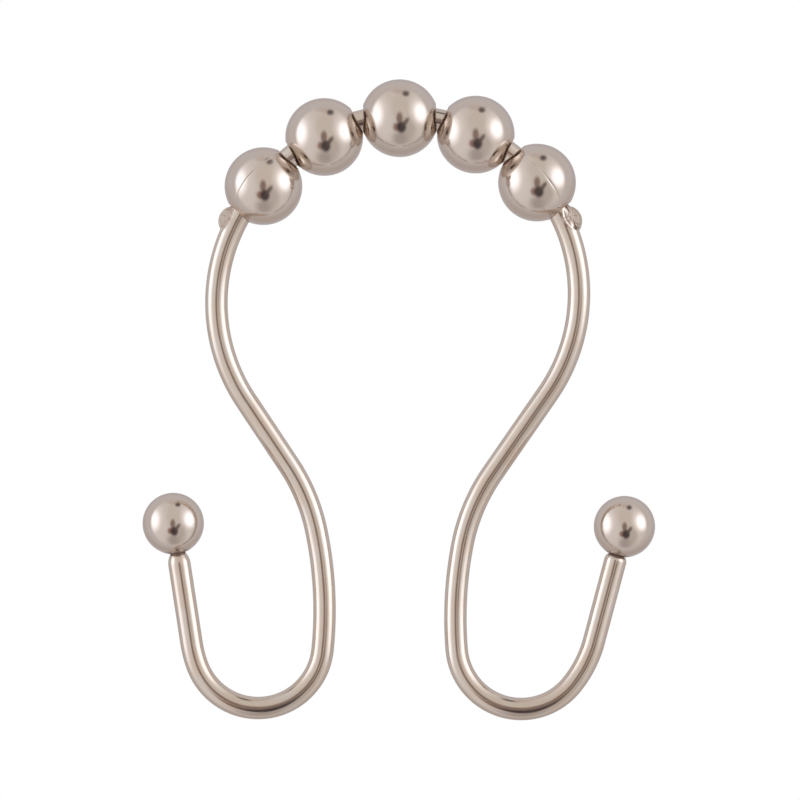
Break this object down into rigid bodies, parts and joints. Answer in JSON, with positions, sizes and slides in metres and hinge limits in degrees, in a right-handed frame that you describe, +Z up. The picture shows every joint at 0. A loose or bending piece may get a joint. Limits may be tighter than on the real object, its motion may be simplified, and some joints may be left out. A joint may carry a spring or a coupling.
{
  "type": "shower curtain hook",
  "caption": "Double curtain hook of bent round wire: an arch of hollow rollers runs along the rod, and a ball-tipped hook on each side below carries the curtain and its liner.",
  "frame": {"origin": "centre of the arch that carries the rollers, in the middle plane of the wire", "axes": "+Z up as it hangs, +Y along the curtain rod, +X to the right with the hook seen along +Y"},
  "size_m": [0.0657, 0.01, 0.0821],
  "materials": {
    "nickel_wire": "bright warm nickel plate on drawn steel wire, fine draw lines",
    "nickel_roller": "polished warm nickel plate on formed steel sheet",
    "nickel_ball": "polished warm nickel plate on a solid steel ball"
  },
  "bodies": {
    "wire": {"hook_wire": "nickel_wire", "end_ball_left": "nickel_ball", "end_ball_right": "nickel_ball"},
    "roller_1": {"roller_1": "nickel_roller"},
    "roller_2": {"roller_2": "nickel_roller"},
    "roller_3": {"roller_3": "nickel_roller"},
    "roller_4": {"roller_4": "nickel_roller"},
    "roller_5": {"roller_5": "nickel_roller"}
  },
  "joints": [
    {"name": "roller_1_spin", "type": "hinge", "parent": "wire", "child": "roller_1", "pos_m": [-0.01781, 0, 0.01334], "axis": [0.6727, 0, 0.74], "continuous": true},
    {"name": "roller_2_spin", "type": "hinge", "parent": "wire", "child": "roller_2", "pos_m": [-0.01002, 0, 0.01965], "axis": [0.8908, 0, 0.4544], "continuous": true},
    {"name": "roller_3_spin", "type": "hinge", "parent": "wire", "child": "roller_3", "pos_m": [-0.00035, 0, 0.02205], "axis": [0.9999, 0, 0.0157], "continuous": true},
    {"name": "roller_4_spin", "type": "hinge", "parent": "wire", "child": "roller_4", "pos_m": [0.0094, 0, 0.01995], "axis": [0.9046, 0, -0.4262], "continuous": true},
    {"name": "roller_5_spin", "type": "hinge", "parent": "wire", "child": "roller_5", "pos_m": [0.01726, 0, 0.0138], "axis": [0.6391, 0, -0.7691], "continuous": true}
  ]
}
